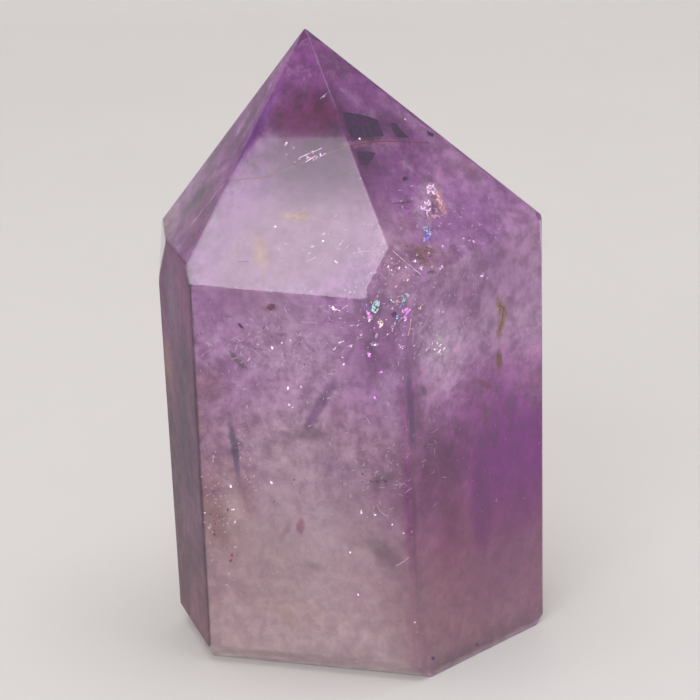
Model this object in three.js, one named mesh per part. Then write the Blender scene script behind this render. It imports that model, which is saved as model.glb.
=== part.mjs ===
// Polished amethyst point: a stout six-sided quartz prism that stands on a flat base and ends in a
// six-faced point. Millimetres, +Z up, origin on the underside at the centre of the footprint.
// The stone is the solid that all its flat faces enclose, so each face is given as a plane.
import * as THREE from 'three';

// Driving dimensions
const HEIGHT = 62;
const APEX_X = -3.3;
const APEX_Y = -0.6;

// Side faces: compass angle the face looks to, how far it leans up, and its distance from the
// upright axis, measured at mid height
const SIDE_MEASURED_AT = 25;
const SIDE_FACES = [
  { name: 'left', angle: 197.5, lean: 0, distance: 17.5 },
  { name: 'front', angle: 252.5, lean: -1, distance: 13.6 },
  { name: 'right', angle: 314.5, lean: 0.5, distance: 14.6 },
  { name: 'back_right', angle: 15.5, lean: -1, distance: 17.6 },
  { name: 'back', angle: 75, lean: 0, distance: 13.8 },
  { name: 'back_left', angle: 135.5, lean: -0.5, distance: 14.9 },
];

// Faces of the point: all six pass through the apex
const POINT_FACES = [
  { name: 'left', angle: 200, lean: 34.5 },
  { name: 'front', angle: 253.5, lean: 28.5 },
  { name: 'right', angle: 309.5, lean: 37.5 },
  { name: 'back_right', angle: 16, lean: 48 },
  { name: 'back', angle: 75, lean: 36 },
  { name: 'back_left', angle: 136.5, lean: 34 },
];

// Small faces that cut two of the shoulders where the sides meet the point
const SHOULDER_MEASURED_AT = 37;
const SHOULDER_FACES = [
  { name: 'front_shoulder', angle: 276.5, lean: 16.5, distance: 14.8 },
  { name: 'left_shoulder', angle: 189.5, lean: 7, distance: 18.2 },
];

// Eased edge round the base: the height it starts at and how far it cuts in under the side face
const BASE_BEVELS = [
  { name: 'left', rise: 1.8, inset: 0.8 },
  { name: 'front', rise: 1.9, inset: 1.5 },
  { name: 'back_right', rise: 0.9, inset: 1 },
  { name: 'back', rise: 1, inset: 0.9 },
  { name: 'back_left', rise: 1, inset: 0.9 },
];

const STONE_COLOR = 0xa37fae;
const STONE_ROUGHNESS = 0.12;
const ON_FACE_TOLERANCE = 1e-6;
const SAME_POINT_TOLERANCE = 1e-4;

// The unit vector that looks to a compass angle and leans up by some degrees
function facing(angle, lean) {
  const turn = THREE.MathUtils.degToRad(angle);
  const rise = THREE.MathUtils.degToRad(lean);
  return new THREE.Vector3(
    Math.cos(rise) * Math.cos(turn),
    Math.cos(rise) * Math.sin(turn),
    Math.sin(rise),
  );
}

function planeThrough(normal, point) {
  return new THREE.Plane().setFromNormalAndCoplanarPoint(normal, point);
}

// A face whose distance from the upright axis is measured along its own direction
function standingFace({ angle, lean, distance }, measuredAt) {
  const normal = facing(angle, lean);
  const point = new THREE.Vector3(0, 0, measuredAt).addScaledVector(normal, distance);
  return planeThrough(normal, point);
}

// The plane that eases the edge between one side face and the underside
function bevelPlane({ name, rise, inset }) {
  const side = SIDE_FACES.find((face) => face.name === name);
  const sidePlane = standingFace(side, SIDE_MEASURED_AT);
  const level = facing(side.angle, 0);
  const reach = -(sidePlane.constant + sidePlane.normal.z * rise) / sidePlane.normal.dot(level);
  const start = level.clone().multiplyScalar(reach).setZ(rise);
  const tilt = THREE.MathUtils.radToDeg(Math.atan2(inset, rise));
  return planeThrough(facing(side.angle, -tilt), start);
}

function allPlanes() {
  const apex = new THREE.Vector3(APEX_X, APEX_Y, HEIGHT);
  return [
    planeThrough(new THREE.Vector3(0, 0, -1), new THREE.Vector3()),
    ...SIDE_FACES.map((face) => standingFace(face, SIDE_MEASURED_AT)),
    ...POINT_FACES.map((face) => planeThrough(facing(face.angle, face.lean), apex)),
    ...SHOULDER_FACES.map((face) => standingFace(face, SHOULDER_MEASURED_AT)),
    ...BASE_BEVELS.map(bevelPlane),
  ];
}

// The point shared by three planes, or null where they don't meet in one
function meetingPoint(a, b, c) {
  const across = new THREE.Vector3().crossVectors(b.normal, c.normal);
  const spread = a.normal.dot(across);
  if (Math.abs(spread) < ON_FACE_TOLERANCE) {
    return null;
  }
  return across
    .multiplyScalar(-a.constant)
    .addScaledVector(new THREE.Vector3().crossVectors(c.normal, a.normal), -b.constant)
    .addScaledVector(new THREE.Vector3().crossVectors(a.normal, b.normal), -c.constant)
    .divideScalar(spread);
}

// Every corner of the solid: a meeting point of three planes that no other plane cuts off
function solidCorners(planes) {
  const corners = [];
  planes.forEach((a, i) => {
    planes.slice(i + 1).forEach((b, j) => {
      planes.slice(i + j + 2).forEach((c) => {
        const point = meetingPoint(a, b, c);
        const kept = point && planes.every((p) => p.distanceToPoint(point) < SAME_POINT_TOLERANCE);
        if (kept && !corners.some((q) => q.distanceTo(point) < SAME_POINT_TOLERANCE)) {
          corners.push(point);
        }
      });
    });
  });
  return corners;
}

// Numbers of the corners that lie on one face, in turn round its outward normal
function faceLoop(plane, corners) {
  const loop = corners
    .map((point, index) => index)
    .filter((index) => Math.abs(plane.distanceToPoint(corners[index])) < SAME_POINT_TOLERANCE);
  if (loop.length < 3) {
    return [];
  }
  const centre = new THREE.Vector3();
  loop.forEach((index) => centre.addScaledVector(corners[index], 1 / loop.length));
  const first = corners[loop[0]].clone().sub(centre).normalize();
  const second = new THREE.Vector3().crossVectors(plane.normal, first);
  const turn = (index) => {
    const arm = corners[index].clone().sub(centre);
    return Math.atan2(arm.dot(second), arm.dot(first));
  };
  return loop.sort((a, b) => turn(a) - turn(b));
}

// Moves the solid so that the origin is at the centre of its footprint
function centreOnFootprint(corners) {
  const box = new THREE.Box3().setFromPoints(corners);
  const centre = box.getCenter(new THREE.Vector3()).setZ(0);
  corners.forEach((point) => point.sub(centre));
}

function stoneGeometry() {
  const planes = allPlanes();
  const corners = solidCorners(planes);
  const triangles = [];
  planes.forEach((plane) => {
    const loop = faceLoop(plane, corners);
    for (let k = 1; k + 1 < loop.length; k += 1) {
      triangles.push(loop[0], loop[k], loop[k + 1]);
    }
  });
  centreOnFootprint(corners);
  const geometry = new THREE.BufferGeometry().setFromPoints(corners);
  geometry.setIndex(triangles);
  const faceted = geometry.toNonIndexed();
  faceted.computeVertexNormals();
  return faceted;
}

function amethystPoint() {
  const material = new THREE.MeshStandardMaterial({
    color: STONE_COLOR,
    roughness: STONE_ROUGHNESS,
    metalness: 0,
  });
  const mesh = new THREE.Mesh(stoneGeometry(), material);
  mesh.name = 'amethyst_point';
  return mesh;
}

const part = new THREE.Group();
part.name = 'amethyst_point_part';
part.add(amethystPoint());

export default part;
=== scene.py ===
"""Polished amethyst point: the stone with the flaws inside it, on a pale floor under soft light."""

import math
import random

import bmesh
import bpy
import numpy as np
from mathutils import Matrix, Vector, noise
from mathutils.bvhtree import BVHTree

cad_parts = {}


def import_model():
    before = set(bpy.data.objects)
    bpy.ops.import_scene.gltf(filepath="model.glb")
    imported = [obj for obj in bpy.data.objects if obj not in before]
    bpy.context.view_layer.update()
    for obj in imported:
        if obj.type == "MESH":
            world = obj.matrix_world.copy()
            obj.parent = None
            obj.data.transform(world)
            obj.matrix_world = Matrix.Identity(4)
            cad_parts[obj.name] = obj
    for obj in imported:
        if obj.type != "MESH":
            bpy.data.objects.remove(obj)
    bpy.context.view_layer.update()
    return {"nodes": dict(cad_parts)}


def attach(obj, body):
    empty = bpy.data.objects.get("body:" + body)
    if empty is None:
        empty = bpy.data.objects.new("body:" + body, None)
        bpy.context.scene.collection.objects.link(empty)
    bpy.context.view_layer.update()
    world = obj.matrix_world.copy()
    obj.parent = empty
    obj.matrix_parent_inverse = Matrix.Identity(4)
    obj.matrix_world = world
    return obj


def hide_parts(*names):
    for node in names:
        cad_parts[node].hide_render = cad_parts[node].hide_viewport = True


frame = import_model()

MM = 0.001
NODE = "amethyst_point"
QUARTZ_IOR = 1.544

# Camera, as read off the photograph: 700 pixels wide, looking down at the stone
PICTURE_WIDTH = 700
FOCAL_PIXELS = 2333
SENSOR_WIDTH = 36
CAMERA_AIM = Vector((-0.205, -1.176, 29.735)) * MM
CAMERA_DISTANCE = 231.8 * MM
CAMERA_PITCH = math.radians(18.106)
CAMERA_ROLL = math.radians(-2.253)
CAMERA_CLIP_START = 10 * MM

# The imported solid: corners closer than this are one, and so are faces that meet at less than this angle
SAME_CORNER = 0.01 * MM
SAME_FACE = math.radians(0.2)
EDGE_ROUNDING = 0.06 * MM

# The milky clouds, in mm: their depth at the stone's edges, how much deeper they lie under its faces and how
# far from the edges, how far and over what distance they swell in, the height above which they are softened
CLOUD_EDGE_DEPTH = 0.13
CLOUD_STEP = 0.3
EDGE_REACH = 1.2
CLOUD_SWELL = 0.9
CLOUD_WAVE = 6
CLOUD_FOOT = 2.5

# Where the swelling is read in the noise, and the share of their depth that the flakes above them use
CLOUD_SEED = Vector((4.05, 0, 0))
FLAKES_ABOVE = 0.85

# The softbox that the front face of the point mirrors: its upper left corner, directions and size in mm
SOFTBOX_CORNER = Vector((-292.6, -292.5, 390.2))
SOFTBOX_ACROSS = Vector((0.8794, -0.4341, 0.1954)).normalized()
SOFTBOX_UP = Vector((0.1084, 0.5824, 0.8057)).cross(SOFTBOX_ACROSS).cross(SOFTBOX_ACROSS).normalized() * -1
SOFTBOX_WIDTH = 450
SOFTBOX_HEIGHT = 320
SOFTBOX_RADIANCE = 2.6
SOFTBOX_CENTRE = SOFTBOX_CORNER + SOFTBOX_ACROSS * SOFTBOX_WIDTH / 2 - SOFTBOX_UP * SOFTBOX_HEIGHT / 2

# Where it lies from the flaws near the front of the stone
FLAWS_CENTRE = Vector((0, -12, 35))
SOFTBOX_DIRECTION = (SOFTBOX_CENTRE - FLAWS_CENTRE).normalized()

# It is dimmer near its upper edge: pixels that mirror its full and its dim part, and how bright that is
SOFTBOX_FULL = (300, 225)
SOFTBOX_DIM = (300, 140)
SOFTBOX_DIM_SHARE = 0.67

# The card that cuts the softbox's corner: pixels that mirror its edge, the edge's extra length beyond each
# as a share, the card's reach and margin in mm
FLAG_HIGH = (262, 138)
FLAG_LOW = (236, 167)
FLAG_LONGER = (0.3, 1)
FLAG_REACH = 70
FLAG_MARGIN = 4


def link(obj):
    bpy.context.scene.collection.objects.link(obj)
    return obj


def mesh_object(name, bm, material, smooth=False):
    mesh = bpy.data.meshes.new(name)
    bm.to_mesh(mesh)
    bm.free()
    mesh.materials.append(material)
    if smooth:
        for face in mesh.polygons:
            face.use_smooth = True
    return link(bpy.data.objects.new(name, mesh))


def part_of_stone(obj):
    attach(obj, "root")
    return obj


def solid_mesh():
    """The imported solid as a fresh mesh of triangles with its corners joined."""
    bm = bmesh.new()
    bm.from_mesh(frame["nodes"][NODE].data)
    bmesh.ops.remove_doubles(bm, verts=bm.verts, dist=SAME_CORNER)
    return bm


def faceted_mesh():
    """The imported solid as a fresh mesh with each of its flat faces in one."""
    bm = solid_mesh()
    bmesh.ops.dissolve_limit(bm, angle_limit=SAME_FACE, verts=bm.verts, edges=bm.edges)
    return bm


# Where the camera looks, and what it meets in the stone

def camera_axes():
    """The camera's right, up and forward directions."""
    forward = Vector((0, math.cos(CAMERA_PITCH), -math.sin(CAMERA_PITCH)))
    level = Vector((1, 0, 0))
    right = level * math.cos(CAMERA_ROLL) + level.cross(forward) * math.sin(CAMERA_ROLL)
    return right, right.cross(forward), forward


def skin_tree():
    bm = solid_mesh()
    tree = BVHTree.FromBMesh(bm)
    bm.free()
    return tree


def skin_planes():
    """Direction and distance of every face of the solid."""
    bm = faceted_mesh()
    planes = [(f.normal.copy(), f.normal.dot(f.verts[0].co)) for f in bm.faces]
    bm.free()
    return planes


SKIN = skin_tree()
PLANES = skin_planes()
RIGHT, UP, FORWARD = camera_axes()
EYE = CAMERA_AIM - FORWARD * CAMERA_DISTANCE


def in_picture(turn):
    """The direction at an angle from the picture's right."""
    return RIGHT * math.cos(turn) + UP * math.sin(turn)


def bent(direction, normal, ratio):
    """A direction after it passes a surface, by Snell's law."""
    cosine = -direction.dot(normal)
    under = 1 - ratio * ratio * (1 - cosine * cosine)
    return (direction * ratio + normal * (ratio * cosine - math.sqrt(under))).normalized()


def sight(px, py):
    """Where the line of sight through a pixel of the photograph enters the stone, the direction it goes on
    in there, and the face's direction."""
    middle = PICTURE_WIDTH / 2
    ray = (FORWARD * FOCAL_PIXELS + RIGHT * (px - middle) + UP * (middle - py)).normalized()
    hit, normal, _, _ = SKIN.ray_cast(EYE, ray)
    if hit is None:
        raise ValueError(f"the photograph's pixel {px}, {py} is beside the stone")
    return hit, bent(ray, normal, 1 / QUARTZ_IOR), normal


def seen_at(px, py):
    """The point of the skin that is seen at a pixel of the photograph."""
    return sight(px, py)[0]


class Nodes:
    """Short calls for building the node tree of a material, a light or the world."""

    def __init__(self, owner):
        owner.use_nodes = True
        self.owner = owner
        self.tree = owner.node_tree

    def add(self, kind, inputs=None, **settings):
        node = self.tree.nodes.new(kind)
        for key, value in settings.items():
            setattr(node, key, value)
        for key, value in (inputs or {}).items():
            self.set(node, key, value)
        return node

    def set(self, node, key, value):
        """Links a socket to an input, or gives the input a value, with the alpha that a colour needs."""
        socket = node.inputs[key]
        if isinstance(value, bpy.types.NodeSocket):
            self.tree.links.new(value, socket)
        else:
            socket.default_value = (*value, 1) if socket.type == "RGBA" else value

    def principled(self, inputs, volume=None):
        """Ends a material's tree in a Principled shader and gives the material."""
        shader = self.add("ShaderNodeBsdfPrincipled", inputs)
        output = self.add("ShaderNodeOutputMaterial", {"Surface": shader.outputs[0]})
        if volume is not None:
            self.set(output, "Volume", volume)
        return self.owner

    def place(self, scale=(1, 1, 1), location=(0, 0, 0)):
        """The stone's own coordinates in millimetres, stretched by scale."""
        where = self.add("ShaderNodeTexCoord").outputs["Object"]
        spread = tuple(s / MM for s in scale)
        mapping = self.add("ShaderNodeMapping", {"Vector": where, "Scale": spread, "Location": location})
        return mapping.outputs["Vector"]

    def axis(self, letter, where=None):
        """One coordinate of a place."""
        where = self.place() if where is None else where
        return self.add("ShaderNodeSeparateXYZ", {"Vector": where}).outputs[letter]

    def along(self, where, direction):
        """How far a place lies in a direction."""
        return self.vector("DOT_PRODUCT", where, tuple(direction), "Value")

    def right_face(self, where):
        return self.ramp(self.along(where, RIGHT_FACE), *RIGHT_FACE_REACH)

    def noise(self, size, detail=4, rough=0.55, vector=None, distortion=0.0, output="Fac"):
        """Noise whose patches are about size millimetres across."""
        vector = self.place() if vector is None else vector
        node = self.add("ShaderNodeTexNoise", {"Vector": vector, "Scale": 1 / size, "Detail": detail,
                                               "Roughness": rough, "Distortion": distortion})
        return node.outputs[output]

    def ramp(self, value, low, high, to_low=0.0, to_high=1.0, kind="SMOOTHSTEP"):
        node = self.add("ShaderNodeMapRange", {"Value": value, "From Min": low, "From Max": high,
                                               "To Min": to_low, "To Max": to_high}, interpolation_type=kind)
        return node.outputs["Result"]

    def times(self, a, b):
        return self.add("ShaderNodeMath", {0: a, 1: b}, operation="MULTIPLY").outputs[0]

    def dimmed(self, value, mask, share):
        """A value that drops to a share of itself where the mask is full."""
        return self.times(value, self.ramp(mask, 0, 1, 1, share))

    def vector(self, operation, a, b, output=0):
        return self.add("ShaderNodeVectorMath", {0: a, 1: b}, operation=operation).outputs[output]

    def blend(self, factor, a, b, mode="MIX"):
        node = self.add("ShaderNodeMix", {0: factor, 6: a, 7: b}, data_type="RGBA", blend_type=mode)
        return node.outputs[2]

    def tinted(self, colour, tint):
        return self.blend(1.0, colour, tint, "MULTIPLY")

    def laid_over(self, colour, mask, tint, name):
        """The colour with a tint over it where the mask is, in a node that is labelled with a name."""
        mixed = self.blend(mask, colour, tint)
        mixed.node.label = name
        return mixed

    def warped(self, size, reach):
        """The stone's coordinates pushed about by noise, so that a zone's border wanders."""
        push = self.vector("SUBTRACT", self.noise(size, detail=3, output="Color"), (0.5, 0.5, 0.5))
        return self.vector("ADD", self.place(), self.vector("MULTIPLY", push, (reach, reach, reach)))

    def zone(self, where, centre, radii, soft, strength=1.0):
        """The strength inside an ellipsoid and 0 outside it, with a soft border."""
        middle = tuple(c / MM / r for c, r in zip(centre, radii))
        distance = self.vector("DISTANCE", self.vector("DIVIDE", where, radii), middle, "Value")
        return self.ramp(distance, 1 + soft, 1 - soft, 0.0, strength)

    def stroke(self, where, start, end, half_width, soft, strength):
        """The strength in a long ellipsoid that reaches into the stone, between two pixels of the photograph
        as seen from the photograph's side, and 0 outside it, with a soft border."""
        near, far = seen_at(*start), seen_at(*end)
        _, inward, normal = sight(*start)
        along = (far - near).normalized()
        across = normal.cross(along).normalized()
        half_length = (far - near).length / 2 / MM + half_width
        skew = Matrix((along, across, inward)).transposed().inverted()
        axes = [axis / reach for axis, reach in zip(skew, (half_length, half_width, STROKE_DEPTH))]
        middle = (near + far) / 2 / MM
        parts = {letter: self.along(where, axis) for letter, axis in zip("XYZ", axes)}
        joined = self.add("ShaderNodeCombineXYZ", parts).outputs[0]
        distance = self.vector("DISTANCE", joined, tuple(middle.dot(axis) for axis in axes), "Value")
        return self.ramp(distance, 1 + soft / 2, max(0, 1 - soft), 0.0, strength)


def material_nodes(name):
    n = Nodes(bpy.data.materials.new(name))
    n.tree.nodes.clear()
    return n


# Strokes of other colour, painted shade and painted highlight among them: pixels of its two ends, half its
# width in mm, soft share, colour, strength
STROKES = [
    ("edge_band", (408, 366), (414, 452), 0.6, 0.8, (0.28, 0, 0.36), 0.98),
    ("edge_band_low", (411, 450), (416, 600), 0.45, 1, (0.38, 0.22, 0.34), 0.5),
    # The next two strokes are painted shade down the right side of the edge between the two faces in front
    ("band_right_shade", (418, 395), (421, 445), 0.7, 0.8, (0.32, 0.11, 0.34), 0.7),
    ("edge_shadow", (421, 460), (425, 535), 1.1, 1, (0.3, 0.13, 0.28), 0.6),
    ("fold", (334, 380), (303, 436), 0.65, 0.6, (0.32, 0.12, 0.36), 0.85),
    ("fold_foot", (294, 434), (326, 434), 0.8, 0.7, (0.34, 0.19, 0.29), 0.7),
    ("beside_fold", (325, 374), (283, 432), 0.55, 0.7, (0.78, 0.58, 0.78), 0.5),
    ("pale_wing", (318, 348), (306, 372), 0.9, 0.8, (0.76, 0.55, 0.76), 0.6),
    ("sliver", (230, 417), (239, 480), 0.4, 0.5, (0.2, 0.12, 0.28), 0.9),
    ("sliver_head", (231, 438), (240, 443), 0.4, 0.5, (0.17, 0.12, 0.25), 0.85),
    ("warm_glow", (226, 474), (238, 528), 1.1, 0.9, (1, 0.84, 0.84), 0.75),
    ("rusty_edge", (193, 385), (199, 440), 0.7, 0.9, (0.66, 0.36, 0.38), 0.5),
    ("brown_spots", (206, 492), (226, 545), 0.9, 0.9, (0.46, 0.24, 0.27), 0.45),
    ("pink_blob", (301, 519), (300, 532), 0.45, 0.5, (0.52, 0.21, 0.33), 0.8),
    ("pink_blob_upper", (294, 498), (300, 510), 0.5, 0.8, (0.58, 0.29, 0.38), 0.6),
    ("pink_blob_left", (289, 524), (282, 540), 0.4, 0.6, (0.56, 0.28, 0.37), 0.6),
    ("grey_milk", (292, 455), (262, 525), 2, 1, (0.82, 0.64, 0.72), 0.65),
    ("violet_glow", (325, 458), (350, 478), 0.9, 1, (0.58, 0.36, 0.64), 0.6),
    ("dark_smudge", (376, 546), (390, 560), 1.3, 1, (0.28, 0.17, 0.24), 0.75),
    ("small_smudge", (306, 563), (320, 569), 0.6, 1, (0.4, 0.27, 0.31), 0.5),
    ("feather_shadow", (372, 482), (404, 472), 0.5, 0.6, (0.33, 0.2, 0.28), 0.8),
    ("feather_root", (376, 478), (378, 492), 0.45, 0.7, (0.32, 0.17, 0.25), 0.7),
    ("white_fan", (356, 514), (396, 520), 0.9, 1, (0.8, 0.62, 0.74), 0.5),
    ("foot_light", (262, 604), (322, 620), 2, 1, (0.88, 0.66, 0.66), 0.6),
    ("ochre_foot", (287, 612), (291, 628), 0.6, 1, (0.66, 0.48, 0.38), 0.5),
    ("milky_right", (440, 338), (446, 396), 3.4, 0.7, (1, 0.74, 1), 0.92),
    # Milky cloud with a painted highlight where a star-shaped glint sits in it
    ("star_cloud_and_glint", (437, 338), (443, 356), 0.9, 0.9, (1, 0.9, 1), 0.85),
    ("mauve_patch", (436, 440), (456, 472), 2, 0.9, (0.24, 0.02, 0.22), 0.9),
    ("mauve_left", (427, 444), (430, 496), 1.1, 0.9, (0.28, 0.09, 0.24), 0.75),
    ("mauve_corner", (455, 422), (466, 440), 0.8, 0.5, (0.34, 0.11, 0.31), 0.5),
    ("olive_patch", (442, 480), (454, 536), 2.2, 0.9, (0.34, 0.14, 0.25), 0.8),
    ("violet_column", (480, 468), (482, 546), 1.7, 0.5, (0.4, 0.04, 0.42), 0.8),
    ("red_brown", (480, 382), (491, 387), 0.4, 0.5, (0.34, 0.1, 0.2), 0.85),
    ("smudge_right", (421, 389), (426, 394), 0.35, 0.6, (0.36, 0.17, 0.36), 0.8),
    ("pale_streak", (515, 348), (520, 372), 0.6, 1, (0.76, 0.54, 0.76), 0.5),
    ("brown_haze", (464, 166), (474, 172), 0.8, 1, (0.5, 0.27, 0.3), 0.6),
    ("pink_fuzz", (392, 218), (420, 228), 0.9, 0.9, (0.72, 0.42, 0.56), 0.5),
    # Round the bright flake on the right face of the point: a painted glow, and its lilac, salmon and rose
    # parts painted bright as a painted glint; its core and foot keep their own colours
    ("flake_glow", (434, 186), (424, 218), 1.6, 0.8, (0.95, 0.66, 0.9), 0.8),
    ("flake_lilac_glint", (427, 186), (436, 192), 0.8, 0.6, (1, 0.95, 1), 1),
    ("flake_salmon_glint", (435, 192), (443, 211), 0.65, 0.6, (1, 0.72, 0.58), 1),
    ("flake_rose_glint", (420, 214), (430, 203), 0.8, 0.7, (1, 0.86, 1), 0.95),
    ("flake_core", (434, 204), (434, 211), 0.35, 0.7, (0.4, 0.17, 0.4), 0.9),
    ("flake_foot", (429, 215), (434, 217), 0.25, 0.6, (1, 0.55, 0.42), 0.9),
    ("block_shadow", (350, 124), (404, 131), 0.8, 0.8, (0.26, 0.09, 0.32), 0.55),
    ("rim_top", (386, 100), (440, 143), 1, 1, (0.94, 0.7, 0.94), 0.6),
    ("block_gap", (350, 144), (396, 143), 0.5, 0.8, (1, 0.6, 0.8), 0.85),
    ("below_blocks", (374, 148), (390, 148), 0.7, 0.9, (0.92, 0.56, 0.9), 0.55),
    ("block_shadow_low", (360, 153), (372, 160), 0.6, 0.8, (0.22, 0.08, 0.26), 0.6),
    ("wine_band", (287, 120), (328, 116), 1.7, 0.5, (0.36, 0.04, 0.25), 0.85),
    ("iron_patch", (412, 251), (434, 250), 0.42, 0.6, (0.46, 0.25, 0.2), 0.9),
    ("iron_patch_low", (419, 257), (427, 264), 0.42, 0.6, (0.4, 0.22, 0.16), 0.85),
    ("iron_patch_tail", (428, 273), (436, 270), 0.14, 0.7, (0.34, 0.16, 0.12), 0.9),
    ("iron_haze", (408, 250), (440, 256), 1.2, 1, (0.52, 0.3, 0.34), 0.5),
    ("iron_hook", (499, 304), (504, 314), 0.6, 0.5, (0.55, 0.3, 0.15), 1),
    ("iron_hook_low", (503, 316), (499, 333), 0.5, 0.5, (0.46, 0.24, 0.11), 1),
    ("iron_hook_haze", (500, 303), (501, 330), 0.8, 1, (0.66, 0.4, 0.4), 0.6),
    ("iron_tail", (499, 352), (499, 368), 0.45, 0.5, (0.36, 0.18, 0.09), 1),
    ("iron_thread", (500, 334), (499, 352), 0.2, 1, (0.5, 0.27, 0.24), 0.6),
    ("iron_faint", (488, 402), (486, 420), 0.3, 0.9, (0.44, 0.24, 0.26), 0.7),
    ("red_spot", (266, 308), (274, 307), 0.4, 0.8, (0.34, 0.1, 0.2), 0.8),
    ("smear_1", (276, 334), (287, 335), 0.2, 0.9, (0.3, 0.13, 0.33), 0.8),
    ("smear_2", (306, 344), (314, 352), 0.3, 0.9, (0.34, 0.14, 0.4), 0.75),
    ("smear_3", (238, 325), (243, 328), 0.15, 0.7, (0.24, 0.12, 0.26), 0.8),
    ("smear_4", (224, 315), (230, 317), 0.2, 0.9, (0.34, 0.16, 0.34), 0.7),
    ("smear_5", (250, 350), (266, 349), 0.12, 0.9, (0.34, 0.18, 0.34), 0.6),
    ("smear_6", (393, 203), (414, 202), 0.15, 0.9, (0.28, 0.08, 0.22), 0.8),
    ("smear_7", (398, 206), (410, 208), 0.12, 0.9, (0.3, 0.1, 0.24), 0.7),
    ("wedge", (231, 353), (245, 368), 0.3, 0.4, (0.36, 0.24, 0.3), 0.9),
    ("side_streak", (259, 104), (224, 162), 0.8, 0.7, (0.28, 0.14, 0.31), 0.85),
    ("side_rim", (248, 108), (197, 181), 0.5, 0.9, (0.24, 0.11, 0.28), 0.7),
    ("side_smoke", (207, 187), (183, 214), 1, 0.6, (0.2, 0.13, 0.22), 0.9),
    ("side_light", (247, 117), (234, 139), 0.5, 0.8, (0.8, 0.62, 0.84), 0.6),
    ("side_line", (227, 179), (186, 231), 0.22, 0.8, (0.92, 0.72, 0.84), 0.7),
    ("side_low", (205, 212), (192, 240), 1.2, 0.9, (0.52, 0.28, 0.42), 0.6),
    ("violet_band", (280, 88), (236, 170), 0.55, 0.8, (0.4, 0.12, 0.56), 0.85),
    ("wine_block", (316, 102), (325, 124), 0.8, 0.7, (0.24, 0.01, 0.14), 0.85),
    ("ochre_upper", (281, 216), (310, 218), 0.42, 0.9, (0.9, 0.66, 0.36), 0.9),
    ("ochre_lower", (258, 244), (262, 261), 0.75, 0.8, (0.9, 0.64, 0.38), 0.8),
]

# How far strokes reach into the stone, in mm
STROKE_DEPTH = 4.5

# Colour of the stone by height, from the paler foot to the deep purple tip: height, colour
LEVELS = [
    (3, (0.9, 0.67, 0.75)),
    (11, (0.81, 0.56, 0.66)),
    (22, (0.7, 0.41, 0.63)),
    (33, (0.74, 0.41, 0.76)),
    (44, (0.66, 0.32, 0.7)),
    (53, (0.5, 0.16, 0.52)),
]

# Half the height, in mm, over which one level turns into the next
LEVEL_FADE = 3.5

# Patches of other colour: pixel of the photograph, radii across, into the stone and up in mm,
# soft share of the border, colour, strength
PATCHES = [
    ("deep_right", (512, 464), (5.6, 5.4, 10), 0.3, (0.5, 0.01, 0.58), 0.95),
    ("pale_right", (500, 345), (5.5, 4, 4.5), 0.6, (0.88, 0.62, 0.88), 0.7),
    ("milky_middle", (298, 520), (6, 4, 13), 0.7, (0.9, 0.75, 0.84), 0.65),
    ("pale_left", (282, 345), (3.6, 3, 5), 0.8, (0.92, 0.7, 0.9), 0.75),
    ("pale_centre", (318, 362), (2.4, 3, 2.8), 0.8, (0.92, 0.7, 0.9), 0.5),
    ("violet_middle", (384, 345), (3, 3, 4.5), 0.7, (0.44, 0.15, 0.46), 0.75),
    ("pale_beside_band", (393, 408), (1.8, 2.5, 3.6), 0.6, (0.88, 0.66, 0.94), 0.4),
    ("foot_edge", (432, 620), (3.5, 6, 7), 0.7, (0.66, 0.42, 0.5), 0.9),
    ("violet_right", (470, 425), (3.4, 4, 4.5), 0.7, (0.52, 0.08, 0.56), 0.7),
    ("lower_right", (480, 590), (9, 6, 7), 0.5, (0.62, 0.33, 0.42), 0.9),
    ("low_violet", (516, 548), (5.5, 5.5, 5.5), 0.9, (0.48, 0.17, 0.4), 0.75),
    ("pale_upper_right", (472, 350), (4.6, 4, 4.2), 0.5, (0.88, 0.62, 0.9), 0.5),
    ("rim_upper", (455, 152), (3, 4, 3.5), 0.7, (0.92, 0.64, 0.88), 0.6),
    ("rim_right", (530, 234), (3, 4, 4.2), 0.7, (0.92, 0.58, 0.84), 0.6),
    ("rim_middle", (531, 354), (2.4, 4, 4.4), 0.7, (1, 0.76, 1), 0.82),
    ("violet_band_right", (462, 304), (4.5, 4.5, 2.6), 0.7, (0.6, 0.24, 0.6), 0.55),
    ("rosy_left", (222, 508), (3.4, 3, 4.6), 0.5, (0.66, 0.4, 0.42), 0.7),
    ("right_strip", (396, 500), (1.8, 3, 6.5), 0.8, (0.5, 0.27, 0.44), 0.6),
    ("right_strip_low", (402, 590), (1.8, 3, 4), 0.8, (0.58, 0.38, 0.48), 0.6),
    ("grey_middle", (358, 512), (2.2, 3, 3.5), 0.8, (0.56, 0.36, 0.46), 0.5),
    ("dusty_point", (394, 240), (2, 3, 3), 0.8, (0.88, 0.64, 0.74), 0.6),
    ("dusty_front", (397, 285), (2, 3, 2.6), 0.8, (0.84, 0.6, 0.66), 0.5),
    ("dusty_right", (452, 262), (4, 3, 2.2), 0.8, (0.9, 0.64, 0.84), 0.5),
    ("pale_low", (262, 570), (4.5, 3, 5), 0.7, (0.76, 0.58, 0.62), 0.6),
    ("rusty_left", (205, 385), (1.8, 2, 1.6), 0.6, (0.62, 0.34, 0.32), 0.5),
    ("calm_front", (288, 232), (8.5, 3, 7.5), 0.4, (0.66, 0.4, 0.6), 0.95),
    # Deeper colour under the front face's mirrored patch, with painted shade where that patch mirrors less
    # of the softbox
    ("deep_front_and_shade", (318, 158), (6, 4, 4), 0.6, (0.24, 0.03, 0.24), 0.95),
    ("deep_point", (358, 186), (1.6, 3, 5), 0.6, (0.44, 0.16, 0.44), 0.5),
    ("deep_tip", (300, 115), (4, 3, 2.2), 0.4, (0.34, 0.05, 0.26), 0.8),
    ("smoky_shoulder", (200, 205), (2.5, 4, 5), 0.6, (0.34, 0.17, 0.3), 0.7),
    ("brown_corner", (168, 226), (1.5, 3, 2), 0.7, (0.5, 0.33, 0.33), 0.6),
]

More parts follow.
